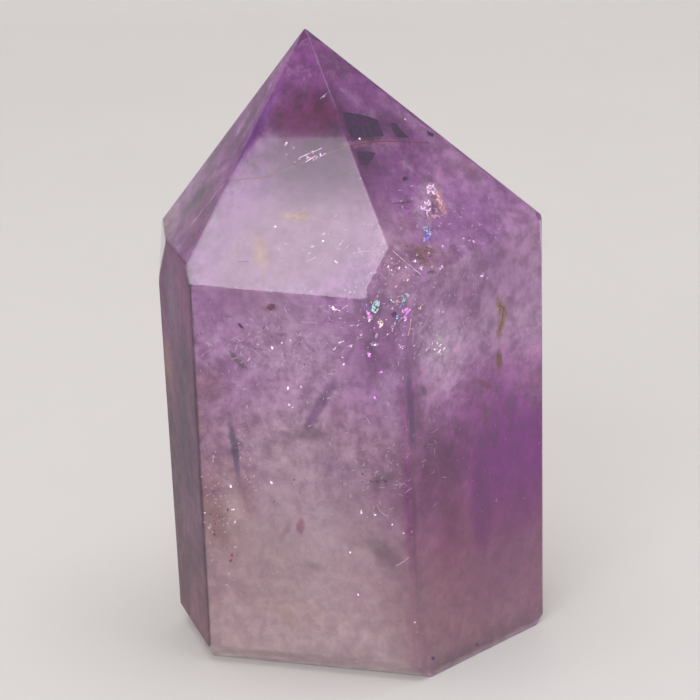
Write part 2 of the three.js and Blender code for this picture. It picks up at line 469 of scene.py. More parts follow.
# Patches on the sides that the photograph doesn't show, with their centres in mm in place of pixels
HIDDEN_PATCHES = [
    ("cloud_behind", (7, 14, 31), (6, 4, 7), 0.8, (1, 0.84, 1), 0.8),
    ("violet_behind", (-10, 11, 38), (6, 5, 6), 0.8, (0.42, 0.1, 0.48), 0.8),
    ("smoke_behind", (1, 14, 22), (2.5, 3, 6), 0.9, (0.38, 0.17, 0.33), 0.7),
    ("pale_behind", (-9, 11, 21), (5, 5, 6), 0.9, (0.94, 0.72, 0.88), 0.7),
    ("deep_beside", (17, 6, 23), (4, 5, 7), 0.7, (0.44, 0.08, 0.5), 0.7),
    ("milky_beside", (17, 3, 37), (3, 4, 5), 0.9, (0.95, 0.74, 0.95), 0.6),
    ("iron_behind", (-3, 13, 42), (1.6, 3, 0.6), 0.8, (0.5, 0.28, 0.18), 0.8),
    ("iron_beside", (-13, 9, 30), (0.7, 3, 2.2), 0.8, (0.52, 0.28, 0.2), 0.7),
]

# The right face, darker in its lower part: its direction, how far out in mm it begins and is full, factors
# on the colour of the face and of its foot
RIGHT_FACE = (math.cos(math.radians(314.5)), math.sin(math.radians(314.5)), 0)
RIGHT_FACE_REACH = (13.4, 14.4)
RIGHT_FACE_TINT = (0.69, 0.20, 0.65)
RIGHT_FOOT_TINT = (0.74, 0.42, 0.66)

# Milk, light feathers and dark smoke in the clouds: noise, its place, levels with strengths, colour
MILK = ({"size": 4.5, "detail": 6, "rough": 0.62, "distortion": 0.4},
        {}, (0.5, 0.75, 0, 0.5), (0.92, 0.76, 0.92))
FEATHERS = ({"size": 1.5, "detail": 5, "rough": 0.65, "distortion": 0.3},
            {"scale": (1, 1, 0.6), "location": (31, 17, 5)}, (0.56, 0.74, 0, 0.5), (0.95, 0.84, 0.95))
SMOKE = ({"size": 1.9, "detail": 5, "rough": 0.62, "distortion": 0.3},
         {"location": (7, 29, 43)}, (0.56, 0.72, 0, 0.4), (0.40, 0.20, 0.38))

# Painted light on the eased edge round the base, which catches more light: heights with the strengths there,
# colour
PAINTED_FOOT_LIGHT_HEIGHTS = (2.1, 1.5, 0, 0.6)
PAINTED_FOOT_LIGHT = (1, 0.80, 0.86)

# Mottling of the clouds: factors on their colour in darker and lighter spots, and where there is none
CLOUD_DARK = (0.62, 0.53, 0.60)
CLOUD_LIGHT = (1.23, 1.42, 1.20)
CLOUD_EVEN = (0.92, 0.98, 0.90)

# The front face of the point shows little of it: pixel of the photograph, radii in mm, soft share, strength
CALM_PIXEL = (285, 225)
CALM_ZONE = ((10, 4, 9), 0.4, 0.75)


def level_colour(n, where):
    """The stone's colour by height, with the darker lower part of the right face."""
    height = n.axis("Z", where)
    colour = LEVELS[0][1]
    for (low, _), (high, tint) in zip(LEVELS, LEVELS[1:]):
        middle = (low + high) / 2
        colour = n.blend(n.ramp(height, middle - LEVEL_FADE, middle + LEVEL_FADE), colour, tint)
    tint = n.blend(n.ramp(height, 10, 20), RIGHT_FOOT_TINT, RIGHT_FACE_TINT)
    shade = n.times(n.right_face(where), n.ramp(height, 34, 28))
    return n.blend(shade, colour, n.tinted(colour, tint))


def veiled(n, colour, look, strength=1.0):
    """The colour with a veil of noise over it."""
    noise_look, place, levels, tint = look
    veil = n.noise(vector=n.place(**place), **noise_look)
    return n.blend(n.times(n.ramp(veil, *levels), strength), colour, tint)


def cloud_colour(n):
    """The colour of the milky clouds: levels, veils, patches, strokes and painted light on the foot."""
    height = n.axis("Z")
    lively = n.ramp(height, 8, 24, to_low=0.35)
    colour = veiled(n, level_colour(n, n.warped(7, reach=5.0)), MILK)
    colour = veiled(n, veiled(n, colour, FEATHERS, lively), SMOKE, lively)
    where = n.warped(3, reach=1.6)
    for name, pixel, radii, soft, tint, strength in PATCHES:
        colour = n.laid_over(colour, n.zone(where, seen_at(*pixel), radii, soft, strength), tint, name)
    for name, centre, radii, soft, tint, strength in HIDDEN_PATCHES:
        colour = n.laid_over(colour, n.zone(where, Vector(centre) * MM, radii, soft, strength), tint, name)
    where = n.warped(1.1, reach=0.7)
    for name, start, end, half_width, soft, tint, strength in STROKES:
        colour = n.laid_over(colour, n.stroke(where, start, end, half_width, soft, strength), tint, name)
    # Painted light on the foot, left out on the right face
    off_right_face = n.ramp(n.along(n.place(), RIGHT_FACE), 14.0, 12.5)
    return n.blend(n.times(n.ramp(height, *PAINTED_FOOT_LIGHT_HEIGHTS), off_right_face), colour, PAINTED_FOOT_LIGHT)


def cloud_material():
    """Milky clouds with fine mottling, calmer on the front face of the point, low down and at the back."""
    n = material_nodes("milky_clouds")
    fine = n.noise(1.7, detail=6, rough=0.7, vector=n.place(location=(13.7, 5.1, 9.3)), distortion=0.2)
    tone = n.blend(n.ramp(fine, 0.32, 0.68), CLOUD_DARK, CLOUD_LIGHT)
    low = n.ramp(n.axis("Z"), 27, 14, to_high=0.65)
    back = n.ramp(n.axis("Y"), 2, 9, to_high=0.5)
    for calm in (n.zone(n.place(), seen_at(*CALM_PIXEL), *CALM_ZONE), low, back):
        tone = n.blend(calm, tone, CLOUD_EVEN)
    colour = n.tinted(cloud_colour(n), tone)
    return n.principled({"Base Color": colour, "Roughness": 0.8, "Specular IOR Level": 0.0})


# The skin is paler than the clouds under it: exponent on the colour
SKIN_PALENESS = 0.35

# The narrow left face, which is smoky, and the left face of the point, which the camera sees edge-on:
# compass angle and lean, and the depths under the face where a look begins and is full
LEFT_FACE = (197.5, 0)
SMOKY_COLOUR_DEPTHS = (0.34, 0.18)
SMOKY_MILK_DEPTHS = (0.2, 0.06)
LEFT_POINT_FACE = (200, 34.5)
LEFT_POINT_DEPTHS = (0.3, 0.1)

# The smoky colour: dark and light streaks, factors between two heights, spots at pixels with radii in mm
SMOKY_DARK = (0.078, 0.030, 0.066)
SMOKY_LIGHT = (0.145, 0.058, 0.113)
SMOKY_ENDS = [((17, 8), (1.4, 1.4, 1.05)), ((30, 37), (1.35, 1.05, 1.3))]
SMOKY_SPOTS = [
    ((168, 362), (1.1, 2, 2.2), (0.26, 0.13, 0.13)),
    ((172, 300), (1.4, 2, 4), (0.17, 0.09, 0.16)),
    ((183, 395), (0.9, 1.2, 4), (0.08, 0.05, 0.08)),
    ((184, 440), (1, 2, 5), (0.065, 0.034, 0.07)),
    ((176, 478), (0.9, 2, 6), (0.092, 0.05, 0.07)),
]

# Where the milky cloud comes close to the right face: pixel, radii in mm and soft share, colour
PALE_PIXEL = (446, 352)
PALE_ZONE = ((4.5, 3, 5.5), 0.6)
PALE_COLOUR = (1, 0.87, 1)

# Where it is a clear deep violet: pixel, radii and soft share, factor on the colour, and the two pairs of
# heights between which its polish is weaker
DEEP_PIXEL = (487, 480)
DEEP_ZONE = ((11, 10, 12), 0.4)
DEEP_TINT = (0.98, 0.60, 0.98)
DEEP_HEIGHTS = [(28, 19), (8, 14)]


def face_mask(n, face, depths):
    """1 on one face of the stone: it fades in between two depths under that face, in mm."""
    turn, lean = (math.radians(angle) for angle in face)
    out = Vector((math.cos(lean) * math.cos(turn), math.cos(lean) * math.sin(turn), math.sin(lean)))
    normal, distance = max(PLANES, key=lambda plane: plane[0].dot(out))
    return n.ramp(n.along(n.place(), normal), *(distance / MM - depth for depth in depths))


def smoky_colour(n, height, wander):
    """The streaky colour of the narrow left face."""
    streak = n.noise(4, rough=0.5, vector=n.place(scale=(1, 1, 0.6)))
    colour = n.blend(n.ramp(streak, 0.38, 0.62), SMOKY_DARK, SMOKY_LIGHT)
    for heights, tint in SMOKY_ENDS:
        colour = n.blend(n.ramp(height, *heights), colour, n.tinted(colour, tint))
    for pixel, radii, tint in SMOKY_SPOTS:
        colour = n.blend(n.zone(wander, seen_at(*pixel), radii, soft=0.9), colour, tint)
    return colour


def skin_colour(n, height, left):
    """The colour of the skin: pale levels, the smoky left face, a pale and a deep zone, mottling."""
    levels = level_colour(n, n.place())
    colour = n.add("ShaderNodeGamma", {"Color": levels, "Gamma": SKIN_PALENESS}).outputs[0]
    wander = n.warped(3, reach=1.5)
    smoky = n.times(face_mask(n, LEFT_FACE, SMOKY_COLOUR_DEPTHS), 0.9)
    colour = n.blend(smoky, colour, smoky_colour(n, height, wander))
    colour = n.blend(n.zone(wander, seen_at(*PALE_PIXEL), *PALE_ZONE), colour, PALE_COLOUR)
    deep = n.zone(wander, seen_at(*DEEP_PIXEL), *DEEP_ZONE)
    colour = n.blend(deep, colour, n.tinted(colour, DEEP_TINT))
    fine = n.noise(1.3, detail=5, rough=0.7, distortion=0.5)
    mottling = n.blend(n.ramp(fine, 0.3, 0.7), (0.74, 0.66, 0.76), (1.06, 1.08, 1.06))
    return n.blend(n.dimmed(1.0, left, 0.65), colour, n.tinted(colour, mottling))


def skin_clearness(n, height, left):
    """Nearly full, but less at the foot and little on the left face."""
    clear = n.ramp(n.noise(6, detail=3, vector=n.place(location=(3, 41, 7))), 0.35, 0.65, to_low=0.985)
    clear = n.times(clear, n.ramp(height, 0, 6, to_low=0.96))
    clear = n.times(clear, n.ramp(height, 0.2, 0.8, to_low=0.75))
    return n.dimmed(clear, left, 0.2)


def skin_polish(n, height, left):
    """Full, but weak on the two left faces, and weaker where the right face is deep violet."""
    deep = n.right_face(n.place())
    for heights in DEEP_HEIGHTS:
        deep = n.times(deep, n.ramp(height, *heights))
    coat = n.dimmed(n.dimmed(1.0, left, 0.06), face_mask(n, LEFT_POINT_FACE, LEFT_POINT_DEPTHS), 0.33)
    return n.dimmed(coat, deep, 0.58)


def stone_material():
    """The see-through skin of the stone, with the polish as a coat."""
    n = material_nodes("amethyst")
    height = n.axis("Z")
    left = face_mask(n, LEFT_FACE, SMOKY_MILK_DEPTHS)
    absorption = n.add("ShaderNodeVolumeAbsorption", {"Color": (0.72, 0.38, 0.72), "Density": 30.0})
    return n.principled({
        "Base Color": skin_colour(n, height, left),
        "Roughness": 0.06,
        "IOR": QUARTZ_IOR,
        "Specular IOR Level": 0.0,
        "Transmission Weight": skin_clearness(n, height, left),
        "Coat Weight": skin_polish(n, height, left),
        "Coat Roughness": 0.02,
        "Coat IOR": QUARTZ_IOR,
    }, absorption.outputs[0])


def sunk(vert, depth):
    """Where a corner goes when all the faces that meet in it move in by one depth."""
    normals = np.array([f.normal for f in vert.link_faces])
    move = np.linalg.lstsq(normals, np.full(len(normals), -depth), rcond=None)[0]
    return vert.co + Vector(move)


def off_edge(point):
    """0 under an edge of the stone and 1 under the middle of a face."""
    nearest, second = sorted(distance - normal.dot(point) for normal, distance in PLANES)[:2]
    return min(1, (second - nearest) / (EDGE_REACH * MM))


def clouds():
    """The milky clouds: a softened copy of the stone close under its skin, deeper under the faces."""
    bm = faceted_mesh()
    bm.normal_update()
    places = [sunk(v, CLOUD_EDGE_DEPTH * MM) for v in bm.verts]
    for v, place in zip(bm.verts, places):
        v.co = place
    bmesh.ops.convex_hull(bm, input=bm.verts)
    bmesh.ops.delete(bm, geom=[f for f in bm.faces if len(f.verts) > 3], context="FACES_ONLY")
    bmesh.ops.subdivide_edges(bm, edges=bm.edges, cuts=11, use_grid_fill=True)
    bmesh.ops.triangulate(bm, faces=bm.faces)
    upper = [v for v in bm.verts if v.co.z > CLOUD_FOOT * MM]
    bmesh.ops.smooth_vert(bm, verts=upper, factor=0.5, use_axis_x=True, use_axis_y=True, use_axis_z=True)
    bm.normal_update()
    for v in bm.verts:
        wave = noise.noise(v.co / (CLOUD_WAVE * MM) + CLOUD_SEED)
        v.co -= v.normal * (CLOUD_STEP + (0.5 + 0.5 * wave) * CLOUD_SWELL) * off_edge(v.co) * MM
    part_of_stone(mesh_object("milky_clouds", bm, cloud_material(), smooth=True))


def stone():
    """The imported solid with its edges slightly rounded."""
    bm = faceted_mesh()
    bmesh.ops.bevel(bm, geom=list(bm.edges), offset=EDGE_ROUNDING, segments=2, profile=0.5,
                    affect="EDGES", clamp_overlap=True)
    bmesh.ops.triangulate(bm, faces=[f for f in bm.faces if len(f.verts) > 4])
    obj = part_of_stone(mesh_object("amethyst_stone", bm, stone_material()))
    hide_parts(NODE)


# Flaws inside the stone, and one bright ribbon standing in for an edge's highlight: thin closed flakes, one
# piece for each kind

# Thickness, or less in small flakes: at most this share of the radius to each side. How far out a flake is
# full, its crumple as a share of its length, and the gap to the stone's skin
FLAKE_THICKNESS = 0.03 * MM
FLAKE_SLENDERNESS = 0.04
FLAKE_SHOULDER = 0.7
FLAKE_CRUMPLE = 0.015
SKIN_GAP = 0.1 * MM

# Shards of a bright outlined flake for each pixel, and the length of a ribbon's links in widths
SHARDS_PER_PIXEL = 0.35
LINK_LENGTH = 2.5


def tucked(point):
    """The point moved in, where needed, so that it stays under the stone's skin."""
    for normal, distance in PLANES:
        over = normal.dot(point) - distance + SKIN_GAP
        if over > 0:
            point = point - normal * over
    return point


def lens(bm, rim, normal, rng, crumple):
    """A closed flake: a thin, slightly crumpled lens with a given rim."""
    centre = sum(rim, Vector()) / len(rim)
    radius = sum((p - centre).length for p in rim) / len(rim)
    edge = [bm.verts.new(tucked(p)) for p in rim]
    bends = [rng.uniform(-1, 1) for _ in rim]
    for side in (1, -1):
        lift = min(FLAKE_THICKNESS / 2, radius * FLAKE_SLENDERNESS) * side
        ring = [bm.verts.new(tucked(centre.lerp(p, FLAKE_SHOULDER) + normal * (lift + bend * crumple)))
                for p, bend in zip(rim, bends)]
        tip = bm.verts.new(tucked(centre + normal * lift))
        for k in range(len(rim)):
            j = (k + 1) % len(rim)
            faces = [(edge[k], edge[j], ring[j]), (edge[k], ring[j], ring[k]), (ring[k], ring[j], tip)]
            for face in faces:
                bm.faces.new(face if side > 0 else face[::-1])


def flake(bm, centre, facing, along, length, slim, rng):
    """An irregular flake of five to eight corners, with its length in mm."""
    across = facing.cross(along).normalized()
    along = across.cross(facing)
    corners = rng.randint(5, 8)
    rim = []
    for k in range(corners):
        a = 2 * math.pi * (k + rng.uniform(-0.25, 0.25)) / corners
        r = length / 2 * rng.uniform(0.6, 1.1) * MM
        rim.append(centre + along * (r * math.cos(a)) + across * (r * slim * math.sin(a)))
    lens(bm, rim, facing, rng, length * FLAKE_CRUMPLE * MM)


def wobbled(direction, degrees, rng):
    """A direction turned at random by up to some degrees."""
    reach = math.tan(math.radians(degrees))
    return (direction + Vector([rng.uniform(-reach, reach) for _ in range(3)])).normalized()


def glinting(inward, normal, tilt, rng):
    """About the direction a flake faces when it mirrors the softbox through one face to the camera."""
    light_in = bent(-SOFTBOX_DIRECTION, normal, 1 / QUARTZ_IOR)
    return wobbled((-light_in - inward).normalized(), tilt, rng)


def above_clouds(hit, inward, depth):
    """A point under the skin at some depth in mm, but always in front of the clouds."""
    limit = FLAKES_ABOVE * (CLOUD_EDGE_DEPTH + CLOUD_STEP * off_edge(hit))
    return hit + inward * min(depth, limit) * MM


def flat(bm, pixels, depth, rng):
    """A dull flake right under the skin, whose rim is given by pixels of the photograph."""
    _, _, normal = sight(*pixels[0])
    lens(bm, [above_clouds(*sight(*p)[:2], depth) for p in pixels], normal, rng, crumple=0)


def inside(px, py, pixels):
    """Whether a pixel is inside an outline."""
    crossings = 0
    for (x0, y0), (x1, y1) in zip(pixels, pixels[1:] + pixels[:1]):
        if (y0 > py) != (y1 > py) and px < x0 + (x1 - x0) * (py - y0) / (y1 - y0):
            crossings += 1
    return crossings % 2 == 1


def shattered(bm, pixels, depth, rng):
    """An outlined bright flake, broken into ragged shards that catch the light differently."""
    left, right = min(p[0] for p in pixels), max(p[0] for p in pixels)
    top, bottom = min(p[1] for p in pixels), max(p[1] for p in pixels)
    for _ in range(round((right - left) * (bottom - top) * SHARDS_PER_PIXEL) + 3):
        px, py = rng.uniform(left, right), rng.uniform(top, bottom)
        if not inside(px, py, pixels):
            continue
        hit, inward, normal = sight(px, py)
        facing = glinting(inward, normal, tilt=rng.choice((2, 5, 9, 14)), rng=rng)
        along = in_picture(math.radians(rng.gauss(60, 30)))
        length = rng.uniform(0.18, 0.5)
        place = above_clouds(hit, inward, depth * rng.uniform(0.6, 1))
        flake(bm, place, facing, along, length, slim=0.45, rng=rng)


def spark(bm, pixel, size, rng):
    """Two or three tiny flakes that glitter at one place."""
    for k in range(rng.choice((2, 3))):
        px, py = pixel[0] + rng.uniform(-1, 1) * k, pixel[1] + rng.uniform(-1, 1) * k
        hit, inward, normal = sight(px, py)
        facing = glinting(inward, normal, tilt=3, rng=rng)
        along = in_picture(rng.uniform(0, math.pi))
        place = above_clouds(hit, inward, rng.uniform(0.15, 0.3))
        flake(bm, place, facing, along, size * rng.uniform(0.6, 1.1), slim=0.6, rng=rng)


def ribbon_link(bm, pixels, depth, rng):
    """A flake of a ribbon, whose rim is given by pixels of the photograph."""
    px, py = (sum(p[k] for p in pixels) / len(pixels) for k in (0, 1))
    hit, inward, normal = sight(px, py)
    centre = above_clouds(hit, inward, depth)
    facing = glinting(inward, normal, tilt=4, rng=rng)
    rim = []
    for p in pixels:
        start, along, _ = sight(*p)
        rim.append(start + along * ((centre - start).dot(facing) / along.dot(facing)))
    lens(bm, rim, facing, rng, crumple=0.01 * MM)


def ribbon(bm, pixels, width, depth, rng):
    """A ribbon of flakes along a line of pixels, width in pixels."""
    for (x0, y0), (x1, y1) in zip(pixels, pixels[1:]):
        length = math.hypot(x1 - x0, y1 - y0)
        steps = max(1, round(length / (width * LINK_LENGTH)))
        sx, sy = -(y1 - y0) / length * width / 2, (x1 - x0) / length * width / 2
        for k in range(steps):
            a, b = k / steps, (k + 1) / steps
            quad = []
            for share, side in ((a, 1), (a, -1), (b, -1), (b, 1)):
                flare = side * rng.uniform(0.6, 1.2)
                quad.append((x0 + (x1 - x0) * share + sx * flare, y0 + (y1 - y0) * share + sy * flare))
            ribbon_link(bm, quad, depth, rng)


def flake_length(lengths, rng):
    return rng.uniform(*lengths) * rng.uniform(0.4, 1)


def spray(bm, centre, spread, count, lengths, slim, angle, depth, tilt, rng):
    """Small flakes scattered round a pixel, a few of them turned the other way."""
    for _ in range(count):
        px, py = rng.gauss(centre[0], spread[0] / 2), rng.gauss(centre[1], spread[1] / 2)
        length = flake_length(lengths, rng)
        turn = math.radians(rng.gauss(*angle)) * rng.choice((1, 1, -1))
        deep = rng.uniform(*depth)
        try:
            hit, inward, normal = sight(px, py)
        except ValueError:
            continue
        facing = glinting(inward, normal, tilt, rng)
        flake(bm, above_clouds(hit, inward, deep), facing, in_picture(turn), length, slim, rng)


def skin_samples():
    """Corners, direction and area of the triangles that the photograph doesn't show, bar the underside."""
    bm = solid_mesh()
    rows = [([v.co.copy() for v in f.verts], f.normal.copy(), f.calc_area()) for f in bm.faces
            if f.normal.z > -0.5 and f.normal.dot(-FORWARD) < 0.15]
    bm.free()
    return rows


def scattered(bm, count, lengths, slim, depth, rng):
    """Flakes near the faces the photograph doesn't show, as thick as on the shown ones."""
    samples = skin_samples()
    for _ in range(count):
        corners, normal, _ = rng.choices(samples, weights=[area for _, _, area in samples])[0]
        u, v = rng.random(), rng.random()
        if u + v > 1:
            u, v = 1 - u, 1 - v
        point = corners[0] + (corners[1] - corners[0]) * u + (corners[2] - corners[0]) * v
        facing = wobbled(normal, degrees=25, rng=rng)
        along = wobbled(facing.cross(Vector((0, 0, 1))), degrees=60, rng=rng)
        length = flake_length(lengths, rng)
        flake(bm, above_clouds(point, -normal, rng.uniform(*depth)), facing, along, length, slim, rng)


def flaw_material(name, light, dark, size, roughness, metallic):
    n = material_nodes(name)
    colour = n.blend(n.ramp(n.noise(size, detail=3), 0.35, 0.65), dark, light)
    return n.principled({"Base Color": colour, "Roughness": roughness, "Metallic": metallic,
                         "Specular IOR Level": 0.5 if metallic else 0.0})


# Colours along a soap film: place, colour
RAINBOW = [
    (0.0, (0.9, 0.75, 0.35)),
    (0.2, (0.35, 1.0, 0.5)),
    (0.38, (0.3, 0.95, 0.95)),
    (0.52, (0.3, 0.4, 1.0)),
    (0.68, (0.95, 0.3, 0.9)),
    (0.84, (1.0, 0.55, 0.3)),
    (1.0, (1.0, 0.95, 0.7)),
]


def rainbow_material(name):
    """Thin cracks that shine in the colours of a soap film."""
    n = material_nodes(name)
    film = n.ramp(n.noise(1.1, detail=2, rough=0.4), 0.3, 0.7, kind="LINEAR")
    node = n.add("ShaderNodeValToRGB", {"Fac": film})
    elements = node.color_ramp.elements
    while len(elements) < len(RAINBOW):
        elements.new(0.5)
    for element, (at, tint) in zip(elements, RAINBOW):
        element.position = at
        element.color = (*tint, 1)
    return n.principled({"Base Color": node.outputs["Color"], "Roughness": 0.2, "Metallic": 0.9})


# Flakes outlined by pixels: kind, depth in mm, outline
OUTLINES = [
    ("pearl", 0.35, [(425, 188), (429, 184), (434, 184), (437, 188), (436, 193), (431, 196), (426, 194)]),
    ("salmon", 0.35, [(436, 190), (440, 194), (442, 200), (445, 208), (447, 215), (442, 213), (439, 205),
        (434, 197)]),
    ("pearl", 0.35, [(424, 203), (428, 199), (431, 204), (430, 211), (428, 217), (424, 213), (420, 208)]),
    ("salmon", 0.35, [(430, 213), (435, 214), (438, 218), (433, 219)]),
    ("blue", 0.35, [(427, 229), (432, 230), (431, 236), (427, 240), (423, 242), (424, 236)]),
    ("green", 0.35, [(424, 227), (429, 226), (428, 232), (424, 235)]),
    ("green", 0.35, [(371, 309), (373, 303), (376, 300), (379, 303), (380, 309), (377, 313), (373, 312)]),
    ("magenta", 0.35, [(367, 312), (370, 311), (371, 317), (368, 318)]),
    ("gold", 0.35, [(367, 318), (371, 317), (370, 321)]),
    ("gold", 0.35, [(377, 325), (379, 321), (382, 321), (383, 326), (380, 328)]),
    ("green", 0.35, [(402, 302), (405, 296), (408, 294), (410, 297)]),
    ("blue", 0.35, [(399, 307), (403, 303), (405, 305), (401, 308)]),
    ("magenta", 0.35, [(401, 312), (404, 308), (408, 307), (410, 310), (406, 315)]),
    ("blue", 0.35, [(396, 317), (398, 316), (401, 320), (399, 321)]),
    ("magenta", 0.35, [(402, 315), (407, 314), (408, 319), (405, 321)]),
    ("gold", 0.35, [(418, 309), (421, 303), (423, 305), (421, 310)]),
    ("white", 0.35, [(374, 336), (377, 333), (379, 334), (376, 337)]),
    ("white", 0.35, [(374, 344), (377, 343), (378, 345), (375, 346)]),
    ("magenta", 0.35, [(367, 353), (369, 352), (370, 356), (368, 358)]),
    ("dark", 0.35, [(391, 314), (394, 311), (397, 313), (396, 317), (392, 317)]),
    ("salmon", 0.35, [(393, 298), (396, 301), (399, 299), (397, 304), (394, 302)]),
    ("dark", 0.25, [(343, 112), (358, 114), (370, 117), (378, 120), (381, 129), (384, 136), (368, 137),
        (352, 137), (348, 128)]),
    ("dark", 0.25, [(390, 123), (396, 123), (400, 129), (409, 137), (404, 138), (397, 137), (392, 129)]),
    ("dark", 0.25, [(357, 152), (367, 151), (376, 153), (372, 159), (368, 165), (361, 164)]),
    ("dark", 0.25, [(427, 130), (434, 134), (433, 137), (428, 135)]),
    ("dark", 0.35, [(402, 178), (405, 176), (408, 179), (404, 181)]),
    ("plum", 0.3, [(267, 308), (270, 304), (275, 304), (274, 308), (271, 311)]),
    ("dark", 0.35, [(237, 324), (240, 323), (244, 328), (241, 328)]),
    ("dark", 0.2, [(431, 657), (434, 656), (435, 660), (432, 660)]),
    ("dark", 0.2, [(475, 644), (478, 642), (479, 646), (476, 646)]),
]

# Ribbons along lines of pixels: kind, width in pixels, depth in mm, line
STREAKS = [
    # The first ribbon, along an edge of the stone, is a bright sheet that stands in for that edge's
    # highlight
    ("pearl", 0.8, 0.12, [(391, 249), (406, 262), (421, 275)]),
    ("salmon", 1, 0.54, [(411, 319), (410, 328), (408, 336)]),
    ("rust", 1.4, 0.3, [(498, 305), (504, 308), (502, 321), (499, 331)]),
    ("rust", 1.4, 0.3, [(499, 354), (499, 366)]),
    ("russet", 1.6, 0.6, [(486, 414), (485, 424)]),
    ("russet", 1.3, 0.36, [(226, 181), (265, 177), (300, 164), (329, 153), (357, 144), (386, 141),
        (430, 143)]),
    ("white", 0.8, 0.48, [(306, 262), (316, 257)]),
    ("white", 0.8, 0.48, [(357, 252), (370, 251)]),
    ("white", 0.8, 0.48, [(320, 99), (327, 93)]),
    ("glint", 0.9, 0.25, [(299, 158), (310, 153)]),
    ("glint", 0.8, 0.25, [(306, 162), (313, 157)]),
    ("glint", 0.7, 0.25, [(313, 152), (322, 148)]),
    ("pearl", 0.8, 0.25, [(318, 158), (326, 153)]),
    ("glint", 0.9, 0.25, [(342, 309), (348, 305)]),
    ("glint", 0.8, 0.25, [(334, 312), (338, 308)]),
    ("glint", 0.7, 0.25, [(329, 307), (341, 311)]),
    ("white", 1.2, 0.25, [(205, 342), (212, 346)]),
    ("white", 1, 0.3, [(301, 322), (317, 323)]),
    ("glint", 0.7, 0.25, [(347, 347), (351, 345)]),
    ("glint", 0.7, 0.25, [(350, 326), (355, 325)]),
    ("glint", 0.6, 0.25, [(396, 321), (392, 330)]),
    ("white", 0.6, 0.54, [(414, 330), (412, 345)]),
    ("glint", 0.9, 0.25, [(399, 348), (403, 346)]),
    ("glint", 0.9, 0.25, [(338, 343), (345, 341)]),
    ("white", 1, 0.25, [(405, 493), (412, 488)]),
    ("white", 1.1, 0.25, [(396, 566), (403, 562), (409, 557)]),
    ("white", 1, 0.48, [(458, 345), (463, 336)]),
    ("white", 1, 0.48, [(431, 433), (438, 429)]),
    ("white", 0.9, 0.3, [(377, 505), (380, 511), (386, 516)]),
    ("white", 0.8, 0.3, [(411, 452), (406, 458)]),
    ("umber", 0.8, 0.3, [(237, 262), (249, 261)]),
]

# Single sparks: kind, size in mm, pixels
SPARKS = [
    ("glint", 0.38, [(415, 261), (421, 269), (442, 266), (441, 269), (272, 348), (288, 388), (440, 346),
        (231, 487)]),
    ("glint", 0.27, [(399, 268), (443, 246), (474, 242), (388, 267), (333, 309), (289, 405), (439, 352),
        (359, 139)]),
    ("glint", 0.26, [(483, 273), (481, 276), (443, 312), (375, 515), (361, 513), (272, 483), (232, 510),
        (376, 345)]),
    ("glint", 0.24, [(275, 227), (323, 241), (337, 263), (287, 143), (324, 96), (405, 119), (333, 307),
        (301, 386), (350, 346), (341, 342), (415, 622), (418, 632), (235, 522), (205, 513), (201, 477),
        (350, 553), (358, 594), (392, 525), (293, 407), (334, 349), (344, 364), (290, 340), (282, 343),
        (258, 344)]),
    ("glint", 0.2, [(189, 311), (487, 278), (478, 246), (470, 240), (463, 238), (412, 531), (404, 533),
        (320, 155)]),
    ("salmon", 0.3, [(408, 280), (496, 501), (200, 476), (412, 532), (312, 152), (307, 158)]),
    ("magenta", 0.3, [(374, 398), (368, 354), (381, 372), (443, 268)]),
]

